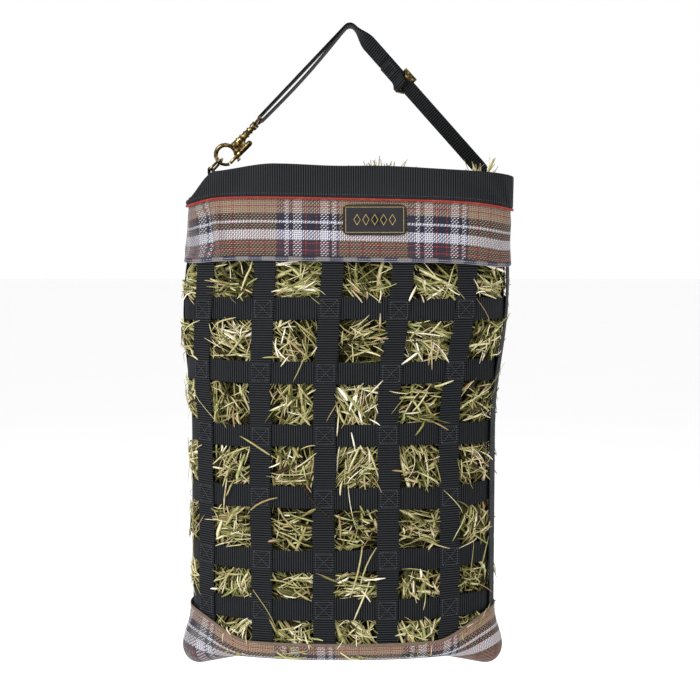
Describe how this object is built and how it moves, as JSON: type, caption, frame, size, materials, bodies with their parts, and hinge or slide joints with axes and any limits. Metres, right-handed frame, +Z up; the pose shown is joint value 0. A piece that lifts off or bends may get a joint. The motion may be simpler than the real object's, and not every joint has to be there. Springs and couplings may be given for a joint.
{
  "type": "hay net",
  "caption": "Slow-feed hay bag of webbing sewn into an open grid, with a mesh collar and bottom, hung by an adjustable strap that clips to a D-ring with a swivel bolt snap.",
  "frame": {"origin": "where the strap bears on the hook that it hangs from", "axes": "+Z up, -Y towards the front with the label, +X towards the strap's sewn end"},
  "size_m": [0.3933, 0.175, 0.7566],
  "materials": {
    "webbing": "ribbed polypropylene webbing",
    "plaid_mesh": "woven vinyl-coated mesh in a tan, brown, white, navy and red plaid",
    "piping": "corded piping",
    "thread": "sewing thread",
    "label": "woven patch",
    "brass": "antique plated",
    "spring_steel": "wire",
    "hay": "loose dry stalks"
  },
  "bodies": {
    "hanger": {"hang_strap": "webbing", "strap_slack": "webbing", "strap_flex": "webbing", "swivel_eye": "brass"},
    "slider": {"slider_frame": "brass", "strap_end_fold": "webbing"},
    "snap": {"swivel_rivet": "brass", "snap_body": "brass", "bolt_spring": "spring_steel"},
    "bolt": {"snap_bolt": "brass", "thumb_knob": "brass"},
    "ring": {"d_ring": "brass"},
    "bag": {"d_ring_tab": "webbing", "strap_anchor": "webbing", "rim_band": "webbing", "rim_piping": "piping", "plaid_collar": "plaid_mesh", "collar_hem": "plaid_mesh", "woven_label": "label", "cross_stitches": "thread", "bottom_panel": "plaid_mesh", "hay_fill": "hay", "hoop_1": "webbing", "hoop_2": "webbing", "hoop_3": "webbing", "hoop_4": "webbing", "hoop_5": "webbing", "hoop_6": "webbing", "upright_1": "webbing", "upright_2": "webbing", "upright_3": "webbing", "upright_4": "webbing", "upright_5": "webbing", "upright_6": "webbing", "upright_7": "webbing", "upright_8": "webbing", "upright_9": "webbing", "upright_10": "webbing", "upright_11": "webbing", "upright_12": "webbing"}
  },
  "joints": [
    {"name": "slider_slide", "type": "slide", "parent": "hanger", "child": "slider", "axis": [0.6691, 0, -0.7431], "range_m": [-0.02, 0.02], "deforming": ["strap_slack"]},
    {"name": "snap_swivel", "type": "hinge", "parent": "hanger", "child": "snap", "pos_m": [-0.10575, 0, -0.10751], "axis": [0.7034, 0, 0.7108], "range_deg": [-30, 30]},
    {"name": "bolt_slide", "type": "slide", "parent": "snap", "child": "bolt", "axis": [0.7034, 0, 0.7108], "range_m": [0, 0.008], "stiffness_N_per_m": 300, "springref_m": -0.006, "deforming": ["bolt_spring"]},
    {"name": "bag_swing", "type": "hinge", "parent": "hanger", "child": "bag", "pos_m": [0.15997, 0, -0.17231], "axis": [0.9984, 0, -0.0567], "range_deg": [-12, 12], "deforming": ["strap_flex"]},
    {"name": "ring_tilt", "type": "hinge", "parent": "bag", "child": "ring", "pos_m": [-0.16519, 0, -0.16758], "axis": [0, 1, 0], "range_deg": [-4, 4]}
  ]
}
